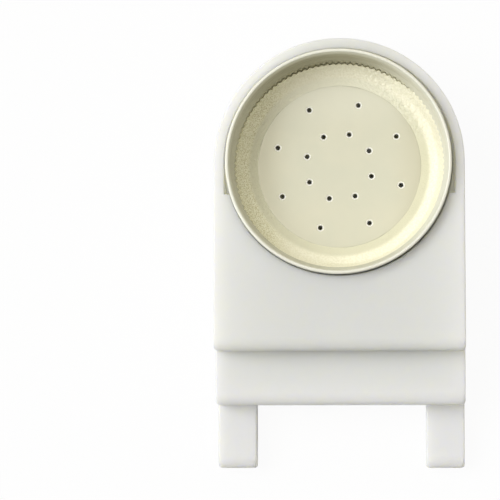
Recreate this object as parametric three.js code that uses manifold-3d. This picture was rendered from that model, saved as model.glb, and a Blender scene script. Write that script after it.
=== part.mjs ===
// Hive entrance feeder. A moulded shell stands on the landing board, its two legs slide into the
// hive entrance, and a perforated jar lid lies open side up in a round well in its top. A jar of
// syrup is screwed upside down into the lid, and the bees come up to the lid from below.
// Millimetres, +Z up, +Y towards the round outdoor end, origin under the middle of the footprint.
import * as THREE from 'three';
import { mergeVertices } from 'three/addons/utils/BufferGeometryUtils.js';
import Module from 'manifold-3d';

// Driving dimensions of the jar lid
const lidDiameter = 74;
const lidHeight = 16.6;
const lidSheet = 0.5;
const lidCurl = 1.9;
const lidStandsProud = 3.5;
const lidDrift = 0.15;

// Driving dimensions of the moulded shell
const shellWall = 3.3;
const shellRoof = 2.5;
const legHeight = 8;
const middleStepRise = 10.5;
const topStepRise = 10;
const axisToTopStep = 61.6;
const middleStepLength = 17.4;
const legLength = 20.4;
const legWidth = 12.7;
const legInset = 0.2;
const legWall = 2.5;
const stepRounding = 4;
const edgeRounding = 0.8;
const cornerBeyondEdge = 0.4;

// Driving dimensions of the well that holds the lid
const pocketClearance = 0.7;
const wellClearance = 0.3;
const pocketDepth = 2;
const pocketEndFromAxis = 10.2;
const skirtWall = 2;
const ledgeWidth = 7.5;
const ledgeThickness = 2;

// Driving dimensions of the floor plate and its snaps
const plateThickness = 2.5;
const rimWall = 1.5;
const snapLength = 8;
const snapHeight = 1.2;
const snapReach = 0.8;
const snapFromEnd = 12;

// Details of the lid
const panelLift = 0.6;
const holeDiameter = 1.5;
const innerHoleCircle = 22.3;
const outerHoleCircle = 42.7;
const holesPerCircle = 8;
const firstHoleAngle = THREE.MathUtils.degToRad(72.7);
const channelWidth = 6;
const channelCorner = 0.8;
const grippedWallHeight = 4.6;
const wallStep = 0.8;
const curlToWall = 0.15;
const threadPitch = 5.08;
const threadTurns = 1.05;
const threadWidth = 2.6;
const threadDepth = 0.8;
const threadFadeTurns = 0.08;
const sealRise = 2.8;
const sealEdge = 0.3;
const sealHollowShare = 1 / 3;

// Fits
const seatGap = 0.3;
const plateClearance = 0.3;
const bondGap = 0.1;
const overrun = 1;
const weldDistance = 0.0001;

// Smoothness of the round forms, in steps
const archSteps = 48;
const circleSteps = 72;
const roundingSteps = 5;
const cornerSteps = 3;
const edgeSteps = 3;
const holeSteps = 12;
const curlSteps = 10;
const threadRows = 8;

// Places worked out from the dimensions above
const lidRadius = lidDiameter / 2;
const pocketHalfWidth = lidRadius + pocketClearance;
const wellRadius = lidRadius + wellClearance;
const halfWidth = pocketHalfWidth + shellWall;
const cornerRounding = edgeRounding + cornerBeyondEdge;
const middleTop = legHeight + middleStepRise;
const shellTop = middleTop + topStepRise;
const topStepFace = -axisToTopStep;
const middleStepFace = topStepFace - middleStepLength;
const legEnd = middleStepFace - legLength;
const legOuter = halfWidth - legInset;
const legInner = legOuter - legWidth;
const lidBottom = shellTop + lidStandsProud - lidHeight;
const ledgeTop = lidBottom - seatGap;
const ledgeBottom = ledgeTop - ledgeThickness;
const ledgeOpening = wellRadius - ledgeWidth;
const plateEdge = rimWall + plateClearance;
const footprintShift = (-legEnd - halfWidth) / 2;
const fullTurn = 2 * Math.PI;
const quarterTurn = Math.PI / 2;

const wasm = await Module();
wasm.setup();

// Closed geometry to a solid that can be joined and cut, and back
function solidOf(geometry) {
  geometry.deleteAttribute('normal');
  geometry.deleteAttribute('uv');
  const welded = mergeVertices(geometry, weldDistance);
  const vertProperties = new Float32Array(welded.attributes.position.array);
  const triVerts = new Uint32Array(welded.index.array);
  return new wasm.Manifold(new wasm.Mesh({ numProp: 3, vertProperties, triVerts }));
}

function geometryOf(solid) {
  const mesh = solid.getMesh();
  const geometry = new THREE.BufferGeometry();
  geometry.setAttribute('position', new THREE.BufferAttribute(new Float32Array(mesh.vertProperties), 3));
  geometry.setIndex(new THREE.BufferAttribute(new Uint32Array(mesh.triVerts), 1));
  geometry.computeVertexNormals();
  return geometry;
}

// Outline pieces: an arc as points, and the plan outlines of the shell
function arc(centreX, centreY, radius, fromAngle, toAngle, steps) {
  const points = [];
  const count = radius > 0 ? steps : 0;
  for (let step = 0; step <= count; step += 1) {
    const angle = count > 0 ? fromAngle + (toAngle - fromAngle) * step / count : fromAngle;
    points.push(new THREE.Vector2(centreX + radius * Math.cos(angle), centreY + radius * Math.sin(angle)));
  }
  return points;
}

function archedOutline(halfSpan, front, corner) {
  return [
    ...arc(halfSpan - corner, front + corner, corner, -quarterTurn, 0, cornerSteps),
    ...arc(0, 0, halfSpan, 0, Math.PI, archSteps),
    ...arc(corner - halfSpan, front + corner, corner, Math.PI, Math.PI + quarterTurn, cornerSteps),
  ];
}

function blockOutline(left, right, front, back, corner) {
  return [
    ...arc(right - corner, front + corner, corner, -quarterTurn, 0, cornerSteps),
    new THREE.Vector2(right, back),
    new THREE.Vector2(left, back),
    ...arc(left + corner, front + corner, corner, Math.PI, Math.PI + quarterTurn, cornerSteps),
  ];
}

function circleOutline(radius, steps) {
  return arc(0, 0, radius, 0, fullTurn, steps).slice(0, -1);
}

// Solids standing on a plan outline, square or with a rounded upper edge
function prism(outline, bottom, top) {
  const options = { depth: top - bottom, bevelEnabled: false };
  const geometry = new THREE.ExtrudeGeometry(new THREE.Shape(outline), options);
  geometry.translate(0, 0, bottom);
  return solidOf(geometry);
}

function roundedPrism(outline, top) {
  const geometry = new THREE.ExtrudeGeometry(new THREE.Shape(outline), {
    depth: top - edgeRounding + overrun,
    bevelThickness: edgeRounding,
    bevelSize: edgeRounding,
    bevelOffset: -edgeRounding,
    bevelSegments: edgeSteps,
  });
  geometry.translate(0, 0, -overrun);
  return solidOf(geometry);
}

// The waste that leaves a large rounding on the hive-side edge of a level
function frontEdgeWaste(front, top) {
  const outline = [
    ...arc(front + stepRounding, top - stepRounding, stepRounding, Math.PI, quarterTurn, roundingSteps),
    new THREE.Vector2(front + stepRounding, top + overrun),
    new THREE.Vector2(front - overrun, top + overrun),
    new THREE.Vector2(front - overrun, top - stepRounding),
  ];
  const span = 2 * (halfWidth + overrun);
  const geometry = new THREE.ExtrudeGeometry(new THREE.Shape(outline), { depth: span, bevelEnabled: false });
  geometry.translate(0, 0, -span / 2);
  const across = new THREE.Matrix4().makeBasis(
    new THREE.Vector3(0, 1, 0),
    new THREE.Vector3(0, 0, 1),
    new THREE.Vector3(1, 0, 0),
  );
  geometry.applyMatrix4(across);
  return solidOf(geometry);
}

function level(outline, front, top) {
  return roundedPrism(outline, top).subtract(frontEdgeWaste(front, top));
}

// The stepped outside of the shell: round outdoor block, middle step and the two legs
function shellOutside() {
  const buriedEnd = topStepFace + shellWall;
  const legBuriedEnd = middleStepFace + shellWall;
  const block = level(archedOutline(halfWidth, topStepFace, cornerRounding), topStepFace, shellTop);
  const middleOutline = blockOutline(-halfWidth, halfWidth, middleStepFace, buriedEnd, cornerRounding);
  const middle = level(middleOutline, middleStepFace, middleTop);
  const leftOutline = blockOutline(-legOuter, -legInner, legEnd, legBuriedEnd, cornerRounding);
  const rightOutline = blockOutline(legInner, legOuter, legEnd, legBuriedEnd, cornerRounding);
  const leftLeg = level(leftOutline, legEnd, legHeight);
  const rightLeg = level(rightOutline, legEnd, legHeight);
  const depthBelow = 2 * (overrun + edgeRounding);
  const below = prism(blockOutline(-halfWidth, halfWidth, legEnd, halfWidth, 0), -depthBelow, 0);
  return block.add(middle).add(leftLeg).add(rightLeg).subtract(below);
}

// The hollows that the shell is moulded round, all open below
function shellHollows() {
  const blockRoof = shellTop - shellRoof;
  const middleRoof = middleTop - shellRoof;
  const inside = halfWidth - shellWall;
  const blockFront = topStepFace + shellWall;
  const middleFront = middleStepFace + shellWall;
  const block = prism(archedOutline(inside, blockFront, 0), -overrun, blockRoof);
  const middleOutline = blockOutline(-inside, inside, middleFront, blockFront + overrun, 0);
  const middle = prism(middleOutline, -overrun, middleRoof);
  const pocketFront = legEnd + legWall;
  const pocketOuter = legOuter - legWall;
  const pocketInner = legInner + legWall;
  const pocketRoof = legHeight - shellRoof;
  const leftPocket = blockOutline(-pocketOuter, -pocketInner, pocketFront, middleStepFace, 0);
  const rightPocket = blockOutline(pocketInner, pocketOuter, pocketFront, middleStepFace, 0);
  return block.add(middle)
    .add(prism(leftPocket, -overrun, pocketRoof))
    .add(prism(rightPocket, -overrun, pocketRoof));
}

// The bees' doorway under the middle step, between the legs
function doorway() {
  const front = middleStepFace - overrun;
  const back = middleStepFace + shellWall + overrun;
  return prism(blockOutline(-legInner, legInner, front, back, 0), -overrun, legHeight);
}

// The well: a skirt hanging from the roof, and the ledge that the lid stands on
function wellWalls() {
  const top = shellTop - shellRoof / 2;
  return prism(circleOutline(wellRadius + skirtWall, circleSteps), ledgeBottom, top);
}

// The round bore for the lid, the shallow pocket around its outdoor half, and the ledge's opening
function wellSpace() {
  const top = shellTop + overrun;
  const pocketFloor = shellTop - pocketDepth;
  const round = prism(circleOutline(wellRadius, circleSteps), ledgeTop, top);
  const pocket = prism(archedOutline(pocketHalfWidth, -pocketEndFromAxis, 0), pocketFloor, top);
  const opening = prism(circleOutline(ledgeOpening, circleSteps), ledgeBottom - overrun, top);
  return round.add(pocket).add(opening);
}

// The rebate for the floor plate, and the four snaps along the straight sides
const snapPlaces = [-snapFromEnd, middleStepFace + snapFromEnd];

function plateOutline(inset) {
  return archedOutline(halfWidth - inset, middleStepFace + inset, cornerRounding);
}

function snapBlock(side, place, inner, outer, halfLength, halfHeight) {
  const left = Math.min(side * inner, side * outer);
  const right = Math.max(side * inner, side * outer);
  const middle = plateThickness / 2;
  const outline = blockOutline(left, right, place - halfLength, place + halfLength, 0);
  return prism(outline, middle - halfHeight, middle + halfHeight);
}

function snapWindows() {
  const inner = halfWidth - rimWall - overrun;
  const outer = halfWidth - plateEdge + snapReach + plateClearance;
  const halfLength = snapLength / 2 + plateClearance;
  const halfHeight = snapHeight / 2 + plateClearance;
  const windows = [];
  for (const side of [-1, 1]) {
    for (const place of snapPlaces) {
      windows.push(snapBlock(side, place, inner, outer, halfLength, halfHeight));
    }
  }
  return windows;
}

function bodyShell() {
  const outside = shellOutside();
  let shell = outside.subtract(shellHollows());
  shell = shell.add(wellWalls().intersect(outside));
  shell = shell.subtract(wellSpace());
  shell = shell.subtract(doorway());
  shell = shell.subtract(prism(plateOutline(rimWall), -overrun, plateThickness + seatGap));
  for (const window of snapWindows()) {
    shell = shell.subtract(window);
  }
  return geometryOf(shell);
}

function floorPlate() {
  let plate = prism(plateOutline(plateEdge), 0, plateThickness);
  const edge = halfWidth - plateEdge;
  for (const side of [-1, 1]) {
    for (const place of snapPlaces) {
      const inner = edge - overrun;
      const outer = edge + snapReach;
      plate = plate.add(snapBlock(side, place, inner, outer, snapLength / 2, snapHeight / 2));
    }
  }
  return geometryOf(plate);
}

// The lid, turned about its own axis with its underside at zero height
const curlRadius = lidCurl / 2;
const curlCentre = lidRadius - curlRadius;
const upperWallInside = curlCentre - curlRadius + curlToWall;
const lowerWallInside = upperWallInside - wallStep;
const panelTop = panelLift + lidSheet;
const channelOutside = lowerWallInside - channelCorner;
const channelInside = channelOutside - channelWidth;
const wallBottom = lidSheet + channelCorner;
const grippedTop = wallBottom + grippedWallHeight;
const upperWallBottom = grippedTop + wallStep;
const curlHeight = lidHeight - curlRadius;
const upperWallTop = curlHeight - curlRadius;
const threadStart = upperWallBottom + threadWidth / 2;

function upperWallRows(radius, bottom, top) {
  const rows = [];
  for (let row = 0; row <= threadRows; row += 1) {
    rows.push(new THREE.Vector2(radius, bottom + (top - bottom) * row / threadRows));
  }
  return rows;
}

function lidProfile() {
  const outerWall = upperWallInside + lidSheet;
  const innerRows = upperWallRows(upperWallInside, upperWallBottom, upperWallTop);
  const outerRows = upperWallRows(outerWall, upperWallBottom, upperWallTop).reverse();
  const curl = arc(curlCentre, curlHeight, curlRadius, Math.PI, -quarterTurn, curlSteps);
  return [
    new THREE.Vector2(0, panelTop),
    new THREE.Vector2(channelInside - panelLift, panelTop),
    new THREE.Vector2(channelInside, lidSheet),
    new THREE.Vector2(channelOutside, lidSheet),
    new THREE.Vector2(lowerWallInside, wallBottom),
    new THREE.Vector2(lowerWallInside, grippedTop),
    ...innerRows,
    ...curl,
    ...outerRows,
    new THREE.Vector2(lowerWallInside + lidSheet, grippedTop),
    new THREE.Vector2(lowerWallInside + lidSheet, wallBottom - lidSheet / 2),
    new THREE.Vector2(channelOutside + lidSheet / 2, 0),
    new THREE.Vector2(channelInside, 0),
    new THREE.Vector2(channelInside - panelLift, panelLift),
    new THREE.Vector2(0, panelLift),
  ];
}

// How far the rolled thread pushes the wall inwards at an angle and a height
function threadPush(angle, height) {
  let push = 0;
  for (let turn = angle / fullTurn; turn <= threadTurns; turn += 1) {
    const offset = (height - threadStart - turn * threadPitch) / threadWidth;
    const fade = Math.min(turn, threadTurns - turn, threadFadeTurns) / threadFadeTurns;
    if (Math.abs(offset) < 1 / 2) {
      push = Math.max(push, fade * threadDepth * Math.cos(offset * Math.PI));
    }
  }
  return push;
}

function rollThread(geometry) {
  const position = geometry.attributes.position;
  for (let index = 0; index < position.count; index += 1) {
    const x = position.getX(index);
    const y = position.getY(index);
    const height = position.getZ(index);
    const radius = Math.hypot(x, y);
    if (radius > lowerWallInside && height > upperWallBottom && height < upperWallTop) {
      const angle = (Math.atan2(y, x) + fullTurn + weldDistance) % fullTurn;
      const shrink = 1 - threadPush(angle, height) / radius;
      position.setX(index, x * shrink);
      position.setY(index, y * shrink);
    }
  }
}

function turned(profile) {
  const geometry = new THREE.LatheGeometry(profile, circleSteps);
  geometry.rotateX(quarterTurn);
  return geometry;
}

function jarLid() {
  const geometry = turned(lidProfile().reverse());
  rollThread(geometry);
  let lid = solidOf(geometry);
  const hole = circleOutline(holeDiameter / 2, holeSteps);
  for (const circle of [innerHoleCircle, outerHoleCircle]) {
    for (let number = 0; number < holesPerCircle; number += 1) {
      const angle = firstHoleAngle + fullTurn * number / holesPerCircle;
      const centre = new THREE.Vector2(Math.cos(angle), Math.sin(angle)).multiplyScalar(circle / 2);
      const outline = hole.map((point) => point.clone().add(centre));
      lid = lid.subtract(prism(outline, -overrun, panelTop + overrun));
    }
  }
  return geometryOf(lid);
}

// The sealing compound that fills the lid's channel and climbs towards the wall
function sealingRing() {
  const bottom = lidSheet + bondGap;
  const outside = lowerWallInside - bondGap;
  const inside = channelInside + bondGap;
  const innerTop = bottom + sealEdge;
  const outerTop = innerTop + sealRise;
  const slopeMiddle = (inside + outside) / 2;
  const profile = [
    new THREE.Vector2(inside, bottom),
    new THREE.Vector2(channelOutside - bondGap, bottom),
    new THREE.Vector2(outside, wallBottom + bondGap),
    new THREE.Vector2(outside, outerTop),
    new THREE.Vector2(slopeMiddle, innerTop + sealRise * sealHollowShare),
    new THREE.Vector2(inside, innerTop),
    new THREE.Vector2(inside, bottom),
  ];
  return geometryOf(solidOf(turned(profile)));
}

const whitePlastic = { color: 0xe9eae4, roughness: 0.45, metalness: 0 };

function piece(name, geometry, look) {
  const mesh = new THREE.Mesh(geometry, new THREE.MeshStandardMaterial(look));
  mesh.name = name;
  return mesh;
}

const feeder = new THREE.Group();
feeder.position.y = footprintShift;
feeder.add(piece('body_shell', bodyShell(), whitePlastic));
feeder.add(piece('floor_plate', floorPlate(), whitePlastic));

const lidGroup = new THREE.Group();
lidGroup.position.set(-lidDrift, 0, lidBottom);
lidGroup.add(piece('jar_lid', jarLid(), { color: 0xe9e4c4, roughness: 0.3, metalness: 0.6 }));
lidGroup.add(piece('sealing_ring', sealingRing(), { color: 0xd9d2a6, roughness: 0.5, metalness: 0 }));
feeder.add(lidGroup);

export default feeder;
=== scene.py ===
"""Hive entrance feeder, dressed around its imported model.

In metres, +Z up. The round outdoor end points to +Y and the legs that enter the hive to -Y.
"""

import math

import bmesh
import bpy
from mathutils import Matrix, Vector
from mathutils.geometry import delaunay_2d_cdt


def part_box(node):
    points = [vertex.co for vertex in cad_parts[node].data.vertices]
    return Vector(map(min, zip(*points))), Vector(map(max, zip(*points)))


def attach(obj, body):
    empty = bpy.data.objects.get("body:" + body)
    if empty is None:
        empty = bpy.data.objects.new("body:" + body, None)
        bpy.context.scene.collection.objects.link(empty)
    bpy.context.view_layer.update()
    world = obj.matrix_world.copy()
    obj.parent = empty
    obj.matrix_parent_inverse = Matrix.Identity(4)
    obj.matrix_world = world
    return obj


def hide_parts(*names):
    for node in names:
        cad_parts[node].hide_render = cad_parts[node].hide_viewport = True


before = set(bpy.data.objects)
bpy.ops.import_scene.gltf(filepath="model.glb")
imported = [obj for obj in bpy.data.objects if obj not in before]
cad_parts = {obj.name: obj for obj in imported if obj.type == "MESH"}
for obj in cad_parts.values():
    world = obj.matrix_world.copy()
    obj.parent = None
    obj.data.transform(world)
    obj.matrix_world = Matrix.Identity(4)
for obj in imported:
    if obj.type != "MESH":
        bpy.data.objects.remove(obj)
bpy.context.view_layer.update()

# Camera
# The photograph looks down from about 0.85 m through a long lens, a few degrees over the legs and
# the right-hand side. Place, aim and lens were fitted to the lid's rims, the holes and the outline.
MM = 0.001
camera_place = Vector((21.1, -76.6, 850)) * MM
camera_aim = Vector((-30.8, 3.1, 0)) * MM
camera_roll = math.radians(0.03)
camera_lens = 182.4
sensor_width = 36

towards_camera = (camera_place - camera_aim).normalized()
camera_right = Vector((0, 1, 0)).cross(towards_camera).normalized()
camera_up = towards_camera.cross(camera_right)
level_turn = Matrix((camera_right, camera_up, towards_camera)).transposed().to_4x4()

camera = bpy.data.objects.new("camera", bpy.data.cameras.new("camera"))
camera.data.lens = camera_lens
camera.data.sensor_width = sensor_width
camera.data.clip_start = camera_place.z / 100
camera.data.clip_end = camera_place.z * 100
camera_turn = level_turn @ Matrix.Rotation(camera_roll, 4, "Z")
camera.matrix_world = Matrix.Translation(camera_place) @ camera_turn
bpy.context.scene.collection.objects.link(camera)
bpy.context.scene.camera = camera
bpy.context.scene.view_settings.view_transform = "Standard"


# Studio
# A white table under a pale, even room. The strongest soft box stands high at the left of the
# photograph and shades what lies towards the lower right; four weaker ones fill the shadows.
class Wire:
    """A node's output, which takes part in sums as a number does."""

    def __init__(self, finish, socket):
        self.finish = finish
        self.socket = socket

    def sum(self, operation, first, second):
        return self.finish.add("ShaderNodeMath", {"operation": operation}, {0: first, 1: second})

    def __add__(self, other):
        return self.sum("ADD", self, other)

    def __sub__(self, other):
        return self.sum("SUBTRACT", self, other)

    def __rsub__(self, other):
        return self.sum("SUBTRACT", other, self)

    def __mul__(self, other):
        return self.sum("MULTIPLY", self, other)

    def __truediv__(self, other):
        return self.sum("DIVIDE", self, other)

    def __pow__(self, other):
        return self.sum("POWER", self, other)

    __radd__ = __add__
    __rmul__ = __mul__


class Finish:
    """A node tree that is written as Python: one method adds any node and returns its output."""

    def __init__(self, owner):
        owner.use_nodes = True
        self.owner = owner
        self.tree = owner.node_tree
        self.tree.nodes.clear()

    def add(self, kind, settings=None, inputs=None, output=0):
        node = self.tree.nodes.new(kind)
        for name, value in (settings or {}).items():
            setattr(node, name, value)
        for name, value in (inputs or {}).items():
            if isinstance(value, Wire):
                self.tree.links.new(value.socket, node.inputs[name])
            else:
                node.inputs[name].default_value = value
        return Wire(self, node.outputs[output]) if node.outputs else None

    def mix(self, share, first, second):
        """A colour between two: the first at a share of 0, the second at 1."""
        colours = {0: share, 6: first, 7: second}
        return self.add("ShaderNodeMix", {"data_type": "RGBA"}, colours, output=2)

    def clamp(self, value, low, high):
        """0 up to the low value, 1 from the high one on, and a smooth rise in between."""
        reach = {0: value, 1: low, 2: high, 3: 0.0, 4: 1.0}
        return self.add("ShaderNodeMapRange", {"interpolation_type": "SMOOTHSTEP"}, reach)


def seen_directly(finish):
    """1 for what the camera sees, straight, in a gloss or through the plastic, and 0 for lighting."""
    straight = finish.add("ShaderNodeLightPath", output="Is Camera Ray")
    mirrored = finish.add("ShaderNodeLightPath", output="Is Glossy Ray")
    through = finish.add("ShaderNodeLightPath", output="Is Transmission Ray")
    either = finish.add("ShaderNodeMath", {"operation": "MAXIMUM"}, {0: straight, 1: mirrored})
    return finish.add("ShaderNodeMath", {"operation": "MAXIMUM"}, {0: either, 1: through})


room_colour = (1.0, 0.985, 0.93, 1)
room_strength = 0.07
room = Finish(bpy.data.worlds.new("pale_room"))
bpy.context.scene.world = room.owner
room_light = room_strength + seen_directly(room) * (1 - room_strength)
room_shader = room.add("ShaderNodeBackground", inputs={"Color": room_colour, "Strength": room_light})
room.add("ShaderNodeOutputWorld", inputs={"Surface": room_shader})

white_light = (0.98, 0.99, 1.0)
warm_light = (1.0, 0.965, 0.86)
# Each soft box has its bearing, rise and spread in degrees, its strength and its colour
soft_boxes = {
    "left_high": (165, 52, 45, 1.98, white_light),
    "left_low": (200, 28, 50, 0.75, white_light),
    "far_low": (85, 28, 50, 0.8, warm_light),
    "far_right": (10, 55, 50, 0.54, warm_light),
    "hive_side": (270, 60, 50, 0.22, warm_light),
}
for name, (bearing, rise, spread, strength, light_colour) in soft_boxes.items():
    around = Matrix.Rotation(math.radians(bearing), 3, "Z")
    from_lamp = around @ Matrix.Rotation(math.radians(-rise), 3, "Y") @ Vector((1, 0, 0))
    lamp = bpy.data.objects.new(name, bpy.data.lights.new(name, "SUN"))
    lamp.data.angle = math.radians(spread)
    lamp.data.energy = strength
    lamp.data.color = light_colour
    lamp.rotation_euler = from_lamp.to_track_quat("Z", "Y").to_euler()
    bpy.context.scene.collection.objects.link(lamp)

table_size = 4000 * MM
table_drop = 0.05 * MM
table_shade = 0.06
table_mesh = bpy.data.meshes.new("table_top")
table_corners = [(-1, -1), (1, -1), (1, 1), (-1, 1)]
table_points = [(x * table_size / 2, y * table_size / 2, -table_drop) for x, y in table_corners]
table_mesh.from_pydata(table_points, [], [(0, 1, 2, 3)])
table_top = bpy.data.objects.new("table_top", table_mesh)
bpy.context.scene.collection.objects.link(table_top)

table_finish = Finish(bpy.data.materials.new("table_white"))
table_colour = (0.86, 0.86, 0.86, 1)
table_white = (1, 1, 1, 1)
table_lit = table_finish.add("ShaderNodeBsdfDiffuse", inputs={"Color": table_colour})
table_plain = table_finish.add("ShaderNodeEmission", inputs={"Color": table_white, "Strength": 1.0})
table_share = seen_directly(table_finish) * (1 - table_shade)
table_parts = {0: table_share, 1: table_lit, 2: table_plain}
table_mixed = table_finish.add("ShaderNodeMixShader", inputs=table_parts)
table_finish.add("ShaderNodeOutputMaterial", inputs={"Surface": table_mixed})
table_mesh.materials.append(table_finish.owner)

# Shell
# One injection moulding in white plastic: a round-ended block with a flat top, two steps down to
# the hive and two hollow legs that slide into the entrance. It stands on the rim of its walls.
shell_low, shell_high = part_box("body_shell")
half_width = shell_high.x
axis_y = shell_high.y - half_width
leg_end = shell_low.y
shell_top = shell_high.z
shell_wall = 3.3 * MM
shell_roof = 2.5 * MM
axis_to_top_step = 61.35 * MM
middle_step_length = 17.4 * MM
top_step_face = axis_y - axis_to_top_step
middle_step_face = top_step_face - middle_step_length
leg_height = 8 * MM
middle_top = 18.5 * MM
leg_inset = 0.2 * MM
leg_width = 12.7 * MM
leg_outer = half_width - leg_inset
leg_inner = leg_outer - leg_width
leg_wall = 2.5 * MM
step_rounding = 4 * MM
step_drop = 2.4 * MM
edge_rounding = 0.45 * MM
corner_rounding = 1.2 * MM
buried = 3 * MM  # how far one level runs on inside the next, so that they join
overrun = 1 * MM  # how far a cutter runs out past what it cuts
arch_steps = 120
rounding_steps = 12


def arc(centre, radius, start, end, steps):
    """Points of an arc in the plan, between two angles in degrees."""
    angles = [math.radians(start + (end - start) * step / steps) for step in range(steps + 1)]
    return [(centre[0] + radius * math.cos(a), centre[1] + radius * math.sin(a)) for a in angles]


def arched_outline(half_span, front, corner=0):
    """Straight sides with a round outdoor end, and hive-side corners of a small radius."""
    round_end = arc((0, axis_y), half_span, 0, 180, arch_steps)
    return [*front_corners(-half_span, half_span, front, corner), *round_end]


def block_outline(left, right, front, back, corner=0):
    """A rectangle whose hive-side corners may be rounded."""
    return [*front_corners(left, right, front, corner), (right, back), (left, back)]


def front_corners(left, right, front, radius):
    if not radius:
        return [(left, front), (right, front)]
    left_corner = arc((left + radius, front + radius), radius, 180, 270, rounding_steps)
    right_corner = arc((right - radius, front + radius), radius, 270, 360, rounding_steps)
    return left_corner + right_corner


def circle_outline(radius):
    return arc((0, axis_y), radius, 0, 360, 2 * arch_steps)[:-1]


def object_from(name, points, faces):
    mesh = bpy.data.meshes.new(name)
    mesh.from_pydata(points, [], faces)
    mesh.validate()
    piece = bpy.data.objects.new(name, mesh)
    bpy.context.scene.collection.objects.link(piece)
    return piece


def stack(name, layers):
    """A solid of plan outlines with as many points each, one above the other."""
    count = len(layers[0][0])
    points = [(x, y, z) for outline, z in layers for x, y in outline]
    faces = [tuple(reversed(range(count)))]
    for layer in range(len(layers) - 1):
        for place in range(count):
            near = layer * count + place
            far = layer * count + (place + 1) % count
            faces.append((near, far, far + count, near + count))
    faces.append(tuple(range(len(points) - count, len(points))))
    return object_from(name, points, faces)


def prism(name, outline, bottom, top):
    return stack(name, [(outline, bottom), (outline, top)])


def settle(piece):
    """Turns the piece's modifiers into its mesh."""
    graph = bpy.context.evaluated_depsgraph_get()
    settled = bpy.data.meshes.new_from_object(piece.evaluated_get(graph))
    piece.modifiers.clear()
    piece.data = settled


def combine(piece, operation, *others):
    """Joins the others to the piece, or cuts them from it, and uses them up."""
    for other in others:
        change = piece.modifiers.new("change", "BOOLEAN")
        change.operation = operation
        change.solver = "EXACT"
        change.object = other
        settle(piece)
        bpy.data.objects.remove(other)


def drawn_in(reach, drop, depth):
    """How far a rounding of a reach and a drop has drawn a face in, at a depth under the edge."""
    left = max(1 - depth / drop, 0)
    return reach * (1 - math.sqrt(1 - left * left))


def rounding_depths(*drops):
    """Depths under an edge, from the deepest up to 0, that draw roundings of these drops evenly."""
    angles = [math.radians(90 * step / rounding_steps) for step in range(rounding_steps + 1)]
    return sorted({round(drop * (1 - math.sin(a)), 9) for drop in drops for a in angles}, reverse=True)


def level(name, outline_at, top):
    """One level of the outside: a large rounding on its hive-side edge, a small one elsewhere."""
    layers = [(outline_at(0, 0), 0)]
    for depth in rounding_depths(step_drop, edge_rounding):
        sides = drawn_in(edge_rounding, edge_rounding, depth)
        front = drawn_in(step_rounding, step_drop, depth)
        layers.append((outline_at(sides, front), top - depth))
    return stack(name, layers)


def top_outline(sides, front):
    return arched_outline(half_width - sides, top_step_face + front, corner_rounding)


def middle_outline(sides, front):
    across = half_width - sides
    back = top_step_face + buried
    return block_outline(-across, across, middle_step_face + front, back, corner_rounding)


def left_leg_outline(sides, front):
    back = middle_step_face + buried
    return block_outline(-leg_outer + sides, -leg_inner - sides, leg_end + front, back, corner_rounding)


def right_leg_outline(sides, front):
    back = middle_step_face + buried
    return block_outline(leg_inner + sides, leg_outer - sides, leg_end + front, back, corner_rounding)


shell = level("feeder_shell", top_outline, shell_top)
combine(
    shell,
    "UNION",
    level("middle", middle_outline, middle_top),
    level("left_leg", left_leg_outline, leg_height),
    level("right_leg", right_leg_outline, leg_height),
)

inside = half_width - shell_wall
block_front = top_step_face + shell_wall
middle_front = middle_step_face + shell_wall
leg_front = leg_end + leg_wall
hollow_outer = leg_outer - leg_wall
hollow_inner = leg_inner + leg_wall
left_hollow = block_outline(-hollow_outer, -hollow_inner, leg_front, middle_step_face)
right_hollow = block_outline(hollow_inner, hollow_outer, leg_front, middle_step_face)
middle_hollow = block_outline(-inside, inside, middle_front, block_front + overrun)
combine(
    shell,
    "DIFFERENCE",
    prism("block_hollow", arched_outline(inside, block_front), -overrun, shell_top - shell_roof),
    prism("middle_hollow", middle_hollow, -overrun, middle_top - shell_roof),
    prism("left_hollow", left_hollow, -overrun, leg_height - shell_roof),
    prism("right_hollow", right_hollow, -overrun, leg_height - shell_roof),
)

# Well
# The lid's round well: a skirt hanging from the roof with a ledge at its foot, open in the middle
# to the chamber below. Around the outdoor half its top widens into a shallow, straight-sided pocket.
lid_low, lid_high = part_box("jar_lid")
lid_radius = (lid_high.x - lid_low.x) / 2
gap_under_lid = 0.3 * MM
gap_around_lid = 0.2 * MM
ledge_thickness = 2 * MM
ledge_width = 7.4 * MM
ledge_top = lid_low.z - gap_under_lid
ledge_bottom = ledge_top - ledge_thickness
well_radius = lid_radius + gap_around_lid
ledge_opening = well_radius - ledge_width
skirt_wall = 2 * MM
pocket_half = lid_radius + 0.7 * MM
pocket_end = axis_y - 10.2 * MM
pocket_depth = 2 * MM
pocket_draft = 0.4 * MM
pocket_offset = 0.15 * MM
lip_rounding = 0.3 * MM


def pocket_outline(spread):
    """Straight sides and a round end, drawn a little off the well's axis towards the right."""
    half_span = pocket_half - pocket_offset + spread
    outline = arched_outline(half_span, pocket_end - spread)
    return [(x + pocket_offset, y if y < axis_y else y - pocket_offset) for x, y in outline]


def flared(name, outline_at, bottom, draft):
    """A cutter with a draft that opens out at the shell's top, so that it leaves a rounded edge."""
    layers = [(outline_at(-draft / 2), bottom)]
    for step in range(rounding_steps + 1):
        angle = math.radians(90 * step / rounding_steps)
        spread = draft / 2 + lip_rounding * (1 - math.cos(angle))
        height = shell_top - lip_rounding * (1 - math.sin(angle))
        layers.append((outline_at(spread), height))
    layers.append((outline_at(draft / 2 + lip_rounding), shell_top + overrun))
    return stack(name, layers)


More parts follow.
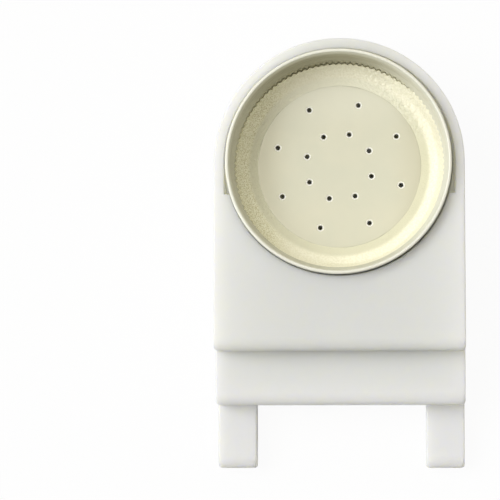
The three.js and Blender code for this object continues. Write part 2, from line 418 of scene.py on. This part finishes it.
skirt_top = shell_top - shell_roof / 2
skirt_outline = circle_outline(well_radius + skirt_wall)
combine(shell, "UNION", prism("skirt", skirt_outline, ledge_bottom, skirt_top))
combine(
    shell,
    "DIFFERENCE",
    flared("well", lambda spread: circle_outline(well_radius + spread), ledge_top, 0),
    flared("pocket", pocket_outline, shell_top - pocket_depth, pocket_draft),
    prism("ledge_opening", circle_outline(ledge_opening), ledge_bottom - overrun, shell_top + overrun),
)

# Doorway and rim
# Bees come in under the middle step, between the legs. A rebate around the rim takes the floor
# plate, with four windows for its snaps.
_, plate_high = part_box("floor_plate")
plate_thickness = plate_high.z
rim_wall = 1.5 * MM
plate_clearance = 0.3 * MM
snap_length = 8 * MM
snap_height = 1.2 * MM
snap_reach = 0.8 * MM
snap_from_end = 12 * MM
snap_places = [axis_y - snap_from_end, middle_step_face + snap_from_end]
plate_edge = half_width - rim_wall - plate_clearance


def snap_block(name, side, place, inner, outer, spare):
    """A snap on one long edge, or its window when it has something to spare all round."""
    left, right = sorted((side * inner, side * outer))
    reach = snap_length / 2 + spare
    rise = snap_height / 2 + spare
    outline = block_outline(left, right, place - reach, place + reach)
    return prism(name, outline, plate_thickness / 2 - rise, plate_thickness / 2 + rise)


doorway = block_outline(-leg_inner, leg_inner, middle_step_face - overrun, middle_front + overrun)
rebate = arched_outline(half_width - rim_wall, middle_step_face + rim_wall)
window_outer = plate_edge + snap_reach + plate_clearance
combine(
    shell,
    "DIFFERENCE",
    prism("doorway", doorway, -overrun, leg_height),
    prism("rebate", rebate, -overrun, plate_thickness + plate_clearance),
    *(
        snap_block("window", side, place, plate_edge - overrun, window_outer, plate_clearance)
        for side in (-1, 1)
        for place in snap_places
    ),
)


def shade_smooth(piece, sharpest):
    """Smooth faces with sharp creases above an angle, weighted so that flat faces stay flat."""
    mesh = piece.data
    mesh.polygons.foreach_set("use_smooth", [True] * len(mesh.polygons))
    mesh.set_sharp_from_angle(angle=math.radians(sharpest))
    weighting = piece.modifiers.new("weighting", "WEIGHTED_NORMAL")
    weighting.keep_sharp = True
    settle(piece)


shade_smooth(shell, sharpest=35)

white = (0.96, 0.97, 0.925, 1)
# Painted shade: the darker white of the block's middle, away from the walls and the legs
white_painted_shade = (0.80, 0.81, 0.79, 1)
white_warm = (0.88, 0.885, 0.86, 1)
translucent = (0.96, 0.93, 0.82, 1)
translucent_share = 0.15
# Painted glow: paler near the outer walls over a reach inwards, and fading to the middle line
painted_glow_reach = 8 * MM
painted_glow_from = 0.15 * half_width
painted_glow_full = 0.8 * half_width
cloud_scale = 45.0
wave_scale = 90.0
grain_scale = 2600.0


def moulded_plastic(name, base, shade, middle_painted_shade):
    """White plastic: a soft gloss, cloudy by a hair, painted paler by a wall and darker in between."""
    finish = Finish(bpy.data.materials.new(name))
    place = finish.add("ShaderNodeTexCoord", output="Object")
    across = finish.add("ShaderNodeSeparateXYZ", inputs={0: place}, output="X")
    along = finish.add("ShaderNodeSeparateXYZ", inputs={0: place}, output="Y")
    past_axis = finish.add("ShaderNodeMath", {"operation": "MAXIMUM"}, {0: along - axis_y, 1: 0.0})
    from_middle = (across * across + past_axis * past_axis) ** 0.5
    inwards = (half_width - from_middle) / painted_glow_reach
    painted_glow = finish.add("ShaderNodeMath", {"operation": "EXPONENT"}, {0: 0.0 - inwards})
    painted_glow = painted_glow * finish.clamp((across * across) ** 0.5, painted_glow_from, painted_glow_full)
    # Painted shade: the block's middle darkens from the legs on, wherever the painted glow fades
    painted_shade_into_block = finish.clamp(along, middle_step_face - leg_wall, top_step_face)
    cloudy = {"Vector": place, "Scale": cloud_scale, "Detail": 4.0}
    clouds = finish.add("ShaderNodeTexNoise", inputs=cloudy)
    colour = finish.mix(finish.clamp(clouds, 0.35, 0.7), base, shade)
    colour = finish.mix((1 - painted_glow) * painted_shade_into_block, colour, middle_painted_shade)
    grained = {"Vector": place, "Scale": grain_scale, "Detail": 2.0}
    grain = finish.add("ShaderNodeTexNoise", inputs=grained)
    wavy = {"Vector": place, "Scale": wave_scale, "Detail": 1.0}
    waves = finish.add("ShaderNodeTexNoise", inputs=wavy)
    height = grain * 0.12 + waves * 0.9
    relief = {"Height": height, "Strength": 0.25, "Distance": 0.05 * MM}
    surface = finish.add(
        "ShaderNodeBsdfPrincipled",
        inputs={
            "Base Color": colour,
            "Roughness": 0.36 + clouds * 0.14,
            "IOR": 1.5,
            "Subsurface Weight": 1.0,
            "Subsurface Radius": (1.0, 0.97, 0.75),
            "Subsurface Scale": 4 * MM,
            "Normal": finish.add("ShaderNodeBump", inputs=relief),
        },
    )
    through = finish.add("ShaderNodeBsdfTranslucent", inputs={"Color": translucent})
    surface = finish.add("ShaderNodeMixShader", inputs={0: translucent_share, 1: surface, 2: through})
    finish.add("ShaderNodeOutputMaterial", inputs={"Surface": surface})
    return finish.owner


shell.data.materials.clear()
shell.data.materials.append(moulded_plastic("shell_white", white, white, white_painted_shade))
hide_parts("body_shell")
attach(shell, "feeder_base")

# Floor plate
# The moulded plate that closes the underside, flush with the rim. Four snaps on its long edges
# click into the windows of the rim.
plate_rounding = 0.3 * MM
plate_front = middle_step_face + rim_wall + plate_clearance
plate_layers = []
for depth in reversed(rounding_depths(plate_rounding)):
    inset = drawn_in(plate_rounding, plate_rounding, depth)
    plate_layers.append((arched_outline(plate_edge - inset, plate_front + inset), depth))
for outline, height in reversed(plate_layers[:]):
    plate_layers.append((outline, plate_thickness - height))
plate = stack("feeder_floor", plate_layers)
combine(
    plate,
    "UNION",
    *(
        snap_block("snap", side, place, plate_edge - overrun, plate_edge + snap_reach, 0)
        for side in (-1, 1)
        for place in snap_places
    ),
)
shade_smooth(plate, sharpest=35)
plate.data.materials.clear()
plate.data.materials.append(moulded_plastic("floor_white", white_warm, white, white_warm))
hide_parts("floor_plate")
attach(plate, "feeder_base")

# Jar lid
# A one-piece pressed tinplate lid, open side up, lacquered pale gold. Its panel is punched with
# sixteen holes, its lower wall is gripped, a thread is rolled in above, and the edge is curled.
lid_axis = (lid_low + lid_high) / 2
lid_bottom = lid_low.z
lid_height = lid_high.z - lid_low.z
sheet = 0.5 * MM
panel_lift = 0.6 * MM
curl_radius = 0.6 * MM
curl_rise = 1.05 * MM
curl_centre = lid_radius - curl_radius
curl_height = lid_height - curl_rise
wall_inset = 1.75 * MM
shoulder_width = 0.8 * MM
channel_width = 6.8 * MM
border_width = 2.5 * MM
upper_wall = lid_radius - wall_inset
flare_foot = curl_height - 2.4 * MM
flare_top = curl_height - 0.3 * MM
lower_wall = upper_wall - shoulder_width
channel_inner = lower_wall - channel_width
panel_rim = channel_inner - border_width
wall_reach = 1 * MM
panel_bend = 0.7 * MM
channel_bend = 0.5 * MM
wall_bend = 0.8 * MM
flare_bend = 1.2 * MM
bend_steps = 3
grip_top = 5.9 * MM
thread_foot = 6.7 * MM
thread_pitch = 5.08 * MM
thread_turns = 1.05
thread_width = 2.6 * MM
thread_depth = 0.8 * MM
thread_fade = 0.08
grip_count = 110
grip_depth = 0.5 * MM
grip_foot_fade = 1.2 * MM
grip_top_fade = 1 * MM
grip_overlap = 0.4 * MM
steps_per_grip = 6
lid_steps = grip_count * steps_per_grip
hole_radius = 0.75 * MM
hole_count = 8
hole_circles = [11.15 * MM, 21.35 * MM]
first_hole = math.radians(72.7)
# The pale ring around each hole, between these radii, is a painted highlight
hole_highlight_from = 1.02 * hole_radius
hole_highlight_to = 1.15 * MM


def rounded_path(corners, steps):
    """Points along straight runs whose corners are rounded by the third number of each corner."""
    path = [Vector(corners[0][:2])]
    for before, here, after in zip(corners, corners[1:], corners[2:]):
        corner = Vector(here[:2])
        back = (Vector(before[:2]) - corner).normalized()
        forth = (Vector(after[:2]) - corner).normalized()
        half_angle = back.angle(forth) / 2
        reach = here[2] / math.tan(half_angle)
        middle = corner + (back + forth).normalized() * here[2] / math.sin(half_angle)
        start = corner + back * reach - middle
        turn = math.pi - 2 * half_angle
        side = 1 if back.cross(forth) < 0 else -1
        for step in range(steps + 1):
            angle = side * turn * step / steps
            spun = Matrix.Rotation(angle, 2) @ start
            path.append(middle + spun)
    path.append(Vector(corners[-1][:2]))
    return path


def with_rows(path, spacing):
    """The same path, with the runs that rise split into even rows."""
    rows = [path[0]]
    for start, end in zip(path, path[1:]):
        count = max(1, round(abs(end.y - start.y) / spacing))
        rows.extend(start.lerp(end, step / count) for step in range(1, count + 1))
    return rows


panel_height = panel_lift + sheet
lid_corners = [
    (panel_rim, panel_height, 0),
    (channel_inner - panel_lift, panel_height, panel_bend),
    (channel_inner, sheet, channel_bend),
    (lower_wall, sheet, wall_bend),
    (lower_wall, grip_top, wall_bend),
    (upper_wall, thread_foot, wall_bend),
    (upper_wall, flare_foot, flare_bend),
    (curl_centre - curl_radius, flare_top, 0),
]
row_spacing = 0.45 * MM
curl_steps = 16
curl_end = -90
curl_flatness = 0.62
inner_side = with_rows(rounded_path(lid_corners, bend_steps), row_spacing)
for cosine, sine in arc((0, 0), 1, 180, curl_end, curl_steps):
    across = math.copysign(abs(cosine) ** curl_flatness, cosine)
    up = math.copysign(abs(sine) ** curl_flatness, sine)
    inner_side.append(Vector((curl_centre + across * curl_radius, curl_height + up * curl_rise)))


def outer_side_of(path, thickness):
    """The other side of the sheet, square to the path all along it."""
    offset = []
    for place, point in enumerate(path):
        before = path[max(place - 1, 0)]
        after = path[min(place + 1, len(path) - 1)]
        along = (after - before).normalized()
        offset.append(point + Vector((along.y, -along.x)) * thickness)
    return offset


def thread_push(angle, height):
    """How far the rolled thread stands into the jar's space."""
    push = 0
    turn = angle / math.tau
    while turn <= thread_turns:
        offset = (height - thread_foot - thread_width / 2 - turn * thread_pitch) / thread_width
        if abs(offset) < 0.5:
            fade = min(turn, thread_turns - turn, thread_fade) / thread_fade
            push = max(push, fade * thread_depth * math.cos(math.pi * offset))
        turn += 1
    return push


def smooth_step(value):
    """0 below 0, 1 above 1, and a smooth rise in between."""
    held = min(max(value, 0), 1)
    return held * held * (3 - 2 * held)


def grip_push(angle, height):
    """How far the grip's ribs stand in, dying out at the foot and under the thread."""
    rise = smooth_step((height - sheet) / grip_foot_fade)
    fall = smooth_step((grip_top + grip_overlap - height) / grip_top_fade)
    return rise * fall * grip_depth * math.cos(grip_count * angle) / 2


def lid_surface(side, guide):
    """One side of the sheet swept round the axis, worked by the thread and the grip as its guide is."""
    points = []
    for step in range(lid_steps):
        angle = math.tau * step / lid_steps
        for rest, worked in zip(side, guide):
            radius = rest.x
            on_wall = worked.x > lower_wall - wall_reach and worked.y < flare_top
            if on_wall:
                radius -= thread_push(angle, worked.y) + grip_push(angle, worked.y)
            points.append((radius * math.cos(angle), radius * math.sin(angle), rest.y))
    return points


outer_side = outer_side_of(inner_side, sheet)
rows = len(inner_side)
lid_points = lid_surface(inner_side, inner_side)
lid_points += lid_surface(outer_side, inner_side)
lid_faces = []
for step in range(lid_steps):
    here = step * rows
    there = (step + 1) % lid_steps * rows
    under_here = here + lid_steps * rows
    under_there = there + lid_steps * rows
    for row in range(rows - 1):
        next_row = row + 1
        lid_faces.append((here + row, there + row, there + next_row, here + next_row))
        under = (under_here + next_row, under_there + next_row, under_there + row, under_here + row)
        lid_faces.append(under)
    last = rows - 1
    lid_faces.append((here + last, there + last, under_there + last, under_here + last))

# The punched panel fills the swept sheet: a dent around each hole, given as rings of a radius and
# a depth in millimetres, of which the last is the hole's edge
dent_rings = [(1.5, 0), (1.2, 0.008), (1.0, 0.03), (0.86, 0.08), (0.78, 0.16), (0.75, 0.26)]
dent_radius = dent_rings[0][0] * MM
dent_steps = 32


def ring(centre, radius):
    return arc(centre, radius, 0, 360, dent_steps)[:-1]


hole_centres = []
for radius in hole_circles:
    for number in range(hole_count):
        angle = first_hole + math.tau * number / hole_count
        hole_centres.append((radius * math.cos(angle), radius * math.sin(angle)))

outline = arc((0, 0), panel_rim, 0, 360, lid_steps)[:-1]
plan = [Vector(point) for point in outline]
edges = [(place, (place + 1) % lid_steps) for place in range(lid_steps)]
for centre in hole_centres:
    first = len(plan)
    plan += [Vector(point) for point in ring(centre, dent_radius)]
    edges += [(first + place, first + (place + 1) % dent_steps) for place in range(dent_steps)]
inside_outline = 1
same_point = 1e-7
flat, _, flat_faces, *_ = delaunay_2d_cdt(plan, edges, [], inside_outline, same_point)


def in_a_dent(face):
    """Whether all of a face's corners lie on the outer ring of one dent, give or take a hair."""
    hair = 1.01
    corners = [flat[index] for index in face]
    for centre in hole_centres:
        if all((corner - Vector(centre)).length < dent_radius * hair for corner in corners):
            return True
    return False


panel_faces = [face for face in flat_faces if not in_a_dent(face)]
for height, turned in ((panel_height, False), (panel_lift, True)):
    start = len(lid_points)
    lid_points += [(point.x, point.y, height) for point in flat]
    for face in panel_faces:
        corners = [start + index for index in face]
        lid_faces.append(tuple(reversed(corners)) if turned else tuple(corners))
for centre in hole_centres:
    start = len(lid_points)
    sunk = [(radius * MM, panel_height - depth * MM) for radius, depth in dent_rings]
    sunk += [(radius, height - sheet) for radius, height in reversed(sunk)]
    for radius, height in sunk:
        lid_points += [(x, y, height) for x, y in ring(centre, radius)]
    for layer in range(len(sunk) - 1):
        for place in range(dent_steps):
            near = start + layer * dent_steps + place
            far = start + layer * dent_steps + (place + 1) % dent_steps
            lid_faces.append((near, near + dent_steps, far + dent_steps, far))


def set_in_place(piece):
    """Moves a piece that is drawn about the lid's axis to where the lid stands, and welds its seams."""
    seam = 0.002 * MM
    piece.data.transform(Matrix.Translation((lid_axis.x, lid_axis.y, lid_bottom)))
    welding = bmesh.new()
    welding.from_mesh(piece.data)
    bmesh.ops.remove_doubles(welding, verts=welding.verts, dist=seam)
    bmesh.ops.recalc_face_normals(welding, faces=welding.faces)
    welding.to_mesh(piece.data)
    welding.free()


lid = object_from("feeder_lid", lid_points, lid_faces)
set_in_place(lid)
shade_smooth(lid, sharpest=40)

# Painted highlight: the two tones of the pale ring around each hole
hole_highlight_dim = (0.80, 0.79, 0.70, 1)
hole_highlight_bright = (0.93, 0.92, 0.86, 1)
panel_pale = (0.62, 0.60, 0.47, 1)
panel_cloud = (0.585, 0.575, 0.455, 1)
# Painted light at the panel's far end and painted shade at its sides
panel_painted_light_far = (0.67, 0.655, 0.53, 1)
panel_painted_shade_sides = (0.555, 0.53, 0.40, 1)
wall_plain = (0.61, 0.595, 0.475, 1)
# Painted shade on the far side of the wall and painted light on its right side
wall_painted_shade_far = (0.43, 0.41, 0.29, 1)
wall_painted_light_right = (0.74, 0.73, 0.61, 1)
# Painted light on the curl, for the light that its crest catches
curl_painted_light = (0.78, 0.77, 0.67, 1)


def painted_hole_highlight():
    """A painted highlight: a pale ring around each hole, for the light its punched edge catches."""
    finish = Finish(bpy.data.materials.new("hole_rim_painted_highlight"))
    place = finish.add("ShaderNodeTexCoord", output="Object")
    speckled = {"Vector": place, "Scale": 2500.0, "Detail": 2.0}
    speckle = finish.add("ShaderNodeTexNoise", inputs=speckled)
    metal = {"Base Color": finish.mix(speckle, hole_highlight_dim, hole_highlight_bright), "Roughness": 0.35 + speckle * 0.2}
    surface = finish.add("ShaderNodeBsdfPrincipled", inputs=metal)
    finish.add("ShaderNodeOutputMaterial", inputs={"Surface": surface})
    return finish.owner


def lacquered_tinplate():
    """Tinplate under a thin pale gold lacquer: half metal, cloudy in the gloss, lightly scuffed."""
    finish = Finish(bpy.data.materials.new("lid_lacquer"))
    place = finish.add("ShaderNodeTexCoord", output="Object")
    cloudy = {"Vector": place, "Scale": 60.0, "Detail": 3.0}
    clouds = finish.add("ShaderNodeTexNoise", inputs=cloudy)
    speckled = {"Vector": place, "Scale": 1500.0, "Detail": 2.0}
    speckle = finish.add("ShaderNodeTexNoise", inputs=speckled)
    height = finish.add("ShaderNodeSeparateXYZ", inputs={0: place}, output="Z") - lid_bottom
    across = finish.add("ShaderNodeSeparateXYZ", inputs={0: place}, output="X") - lid_axis.x
    along = finish.add("ShaderNodeSeparateXYZ", inputs={0: place}, output="Y") - lid_axis.y
    panel_colour = finish.mix(finish.clamp(clouds, 0.3, 0.7), panel_pale, panel_cloud)
    # Painted light on the panel towards its far end, and painted shade towards both sides
    far_end_light_mask = finish.clamp(along, 10 * MM, 27 * MM)
    panel_colour = finish.mix(far_end_light_mask, panel_colour, panel_painted_light_far)
    sides_shade_mask = finish.clamp((across * across) ** 0.5, 15 * MM, 29 * MM)
    panel_colour = finish.mix(sides_shade_mask, panel_colour, panel_painted_shade_sides)
    # Painted shade on the far wall, where it faces away from the light, and painted light on the right
    # wall
    far_side_shade_mask = finish.clamp(along - across * 0.25, 22 * MM, 37 * MM)
    wall_colour = finish.mix(far_side_shade_mask, wall_plain, wall_painted_shade_far)
    right_side_light_mask = finish.clamp(across, 10 * MM, 34 * MM)
    wall_colour = finish.mix(right_side_light_mask, wall_colour, wall_painted_light_right)
    up_the_wall = finish.clamp(height, panel_height + 1 * MM, panel_height + 4 * MM)
    colour = finish.mix(up_the_wall, panel_colour, wall_colour)
    # Painted light: the curl is paler than the wall, for the light its crest catches
    curl_light_mask = finish.clamp(height, flare_foot, flare_top)
    colour = finish.mix(curl_light_mask, colour, curl_painted_light)
    relief = {"Height": speckle * 0.3 + clouds * 0.8, "Strength": 0.2, "Distance": 0.04 * MM}
    surface = finish.add(
        "ShaderNodeBsdfPrincipled",
        inputs={
            "Base Color": colour,
            "Metallic": 0.25 - up_the_wall * 0.15,
            "Roughness": 0.34 + clouds * 0.14,
            "Normal": finish.add("ShaderNodeBump", inputs=relief),
        },
    )
    finish.add("ShaderNodeOutputMaterial", inputs={"Surface": surface})
    return finish.owner


lid.data.materials.append(lacquered_tinplate())
lid.data.materials.append(painted_hole_highlight())
# The faces of the ring around each hole take the painted highlight
for face in lid.data.polygons:
    middle = face.center - Vector((lid_axis.x, lid_axis.y, 0))
    if middle.z > lid_bottom + panel_lift + sheet / 2 and middle.xy.length < panel_rim:
        nearest = min((middle.xy - Vector(centre)).length for centre in hole_centres)
        face.material_index = int(hole_highlight_from < nearest < hole_highlight_to)
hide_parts("jar_lid")
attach(lid, "loose_lid")

# Sealing compound
# Plastisol flowed hot into the lid's channel and cured there, with a finely pebbled skin and an
# inner edge that wanders a little. It climbs to the grip's ribs, which it covers at the right and
# leaves bare at the far side.
seal_gap = 0.1 * MM
seal_bottom = sheet + seal_gap
seal_foot = seal_bottom + 0.7 * MM
seal_inner = channel_inner - 0.62 * MM
seal_outer = lower_wall - 0.2 * MM
foot_inner = channel_inner + 0.1 * MM
foot_outer = seal_outer - 0.6 * MM
grip_middle = seal_bottom + 3 * MM
rib_bite = 0.4 * MM
seal_notch = 0.25 * MM
shrink_bearing = math.radians(98)
shrink_narrowness = 4
shrink_drop = 1.8 * MM
shrink_pull = 0.4 * MM
pull_from = 0.93
climb_bearing = math.radians(-25)
climb_full = math.cos(math.radians(45))
climb_none = math.cos(math.radians(80))
climb_from = 0.68
climb_width = 0.2
climb_rise = 2.8 * MM
climb_reach = 0.95 * MM
climb_fold = 1.5 * MM
# The slope from its inner edge at 0 to its outer edge at 1, with its height in millimetres
seal_slope = [
    (0, 1.07),
    (0.05, 1.04),
    (0.2, 0.93),
    (0.34, 0.85),
    (0.46, 0.98),
    (0.62, 1.42),
    (0.76, 2.02),
    (0.9, 2.9),
    (1, 3.7),
]
seal_rows = 30
seal_wander = 0.1 * MM
# The inner edge wanders in waves, each with its count around the lid, its start and its share
wander_waves = [(5, 0.7, 1), (13, 2.1, 0.6), (29, 0, 0.4)]
thin_edge = channel_inner + 1.4 * MM
thick_edge = channel_inner + 2.9 * MM


def smooth_curve(points, share):
    """A smooth curve through the points, read at a share from 0 to 1."""
    last = len(points) - 1
    place = max(index for index in range(last) if points[index][0] <= share)
    heights = [points[min(max(place + step, 0), last)] for step in (-1, 0, 1, 2)]
    (_, before), (start, here), (end, there), (_, after) = heights
    along = (share - start) / (end - start)
    bend = 2 * before - 5 * here + 4 * there - after
    twist = 3 * (here - there) + after - before
    return here + along * (there - before + along * (bend + along * twist)) / 2


def seal_profile(angle):
    """The compound's section at an angle: a flat foot, a side against the ribs, and the slope."""
    drift = sum(part * math.sin(waves * angle + first) for waves, first, part in wander_waves)
    start = seal_inner + seal_wander * drift / 2
    rib = grip_push(angle, grip_middle)
    side = seal_outer - rib + rib_bite
    shrink = max(0, math.cos(angle - shrink_bearing)) ** shrink_narrowness
    climb = smooth_step((math.cos(angle - climb_bearing) - climb_none) / (climb_full - climb_none))
    notch = (seal_notch + shrink * shrink_drop) * (1 - climb)
    fold = seal_slope[-1][1] * MM - notch + climb * climb_fold
    outer = seal_outer + climb * climb_reach
    shoulder = side + climb * (outer + seal_gap - side)
    shoulder_height = fold + climb * (climb_rise - climb_fold - seal_gap)
    section = [(foot_inner, seal_bottom), (foot_outer, seal_bottom), (side, seal_foot)]
    section += [(side, fold), (shoulder, shoulder_height)]
    for row in range(seal_rows + 1):
        share = 1 - row / seal_rows
        pull = (1 - climb) * smooth_step((share - pull_from) / (1 - pull_from))
        radius = start + (outer - start) * share - (rib + shrink * shrink_pull) * pull
        rise = climb * climb_rise * smooth_step((share - climb_from) / climb_width)
        section.append((radius, smooth_curve(seal_slope, share) * MM + rise))
    return section


seal_points = []
for step in range(lid_steps):
    angle = math.tau * step / lid_steps
    seal_points += [(r * math.cos(angle), r * math.sin(angle), z) for r, z in seal_profile(angle)]
count = len(seal_profile(0))
seal_faces = []
for step in range(lid_steps):
    here = step * count
    there = (step + 1) % lid_steps * count
    for row in range(count):
        after = (row + 1) % count
        seal_faces.append((here + row, here + after, there + after, there + row))
seal = object_from("feeder_lid_seal", seal_points, seal_faces)
set_in_place(seal)
shade_smooth(seal, sharpest=50)

straw = (0.88, 0.845, 0.65, 1)
straw_pale = (0.96, 0.93, 0.75, 1)
# Painted glints and painted shade: bright specks, with the golden tone painted darker between them, at
# the left
straw_golden_painted_shade = (0.72, 0.68, 0.43, 1)
straw_painted_glint = (1.0, 0.98, 0.78, 1)
thin_near = (0.74, 0.72, 0.54, 1)
# Painted light: the thin inner run is paler towards the far end
thin_painted_light_far = (0.86, 0.84, 0.67, 1)
pebble_scale = 1700.0
wrinkle_scale = 900.0
glint_scale = 2800.0


def sealing_compound():
    """Cured plastisol: straw-coloured, glossy, pebbled at the left and wrinkled at the upper right."""
    finish = Finish(bpy.data.materials.new("seal_compound"))
    place = finish.add("ShaderNodeTexCoord", output="Object")
    pebbled = {"Vector": place, "Scale": pebble_scale, "Detail": 2.0}
    pebbles = finish.add("ShaderNodeTexNoise", inputs=pebbled)
    cloudy = {"Vector": place, "Scale": 120.0, "Detail": 3.0}
    clouds = finish.add("ShaderNodeTexNoise", inputs=cloudy)
    creased = {"Vector": place, "Scale": wrinkle_scale, "Detail": 2.0}
    wrinkles = finish.add("ShaderNodeTexNoise", inputs=creased)
    glinting = {"Vector": place, "Scale": glint_scale, "Detail": 1.0}
    glints = finish.add("ShaderNodeTexNoise", inputs=glinting)
    across = finish.add("ShaderNodeSeparateXYZ", inputs={0: place}, output="X") - lid_axis.x
    along = finish.add("ShaderNodeSeparateXYZ", inputs={0: place}, output="Y") - lid_axis.y
    coarse = finish.clamp(0.0 - across, 14 * MM, 26 * MM)
    wrinkled = finish.clamp(across + along, 30 * MM, 42 * MM)
    fine_colour = finish.mix(finish.clamp(pebbles, 0.35, 0.65), straw, straw_pale)
    # Painted glints and painted shade between the pebbles at the left
    painted_glint_and_shade = finish.mix(finish.clamp(glints, 0.38, 0.58), straw_golden_painted_shade, straw_painted_glint)
    colour = finish.mix(coarse, fine_colour, painted_glint_and_shade)
    from_axis = (across * across + along * along) ** 0.5
    thick = finish.clamp(from_axis, thin_edge, thick_edge)
    # Painted light: the thin run is painted paler towards the far end
    thin_colour = finish.mix(finish.clamp(along, 5 * MM, 27 * MM), thin_near, thin_painted_light_far)
    colour = finish.mix(thick, thin_colour, colour)
    height = pebbles * (0.8 + coarse) + clouds * 0.6 + wrinkles * wrinkled * 3.0
    relief = {"Height": height, "Strength": 0.85, "Distance": 0.24 * MM}
    surface = finish.add(
        "ShaderNodeBsdfPrincipled",
        inputs={
            "Base Color": colour,
            "Roughness": 0.3 + clouds * 0.15,
            "IOR": 1.52,
            "Normal": finish.add("ShaderNodeBump", inputs=relief),
        },
    )
    finish.add("ShaderNodeOutputMaterial", inputs={"Surface": surface})
    return finish.owner


seal.data.materials.append(sealing_compound())
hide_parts("sealing_ring")
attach(seal, "loose_lid")
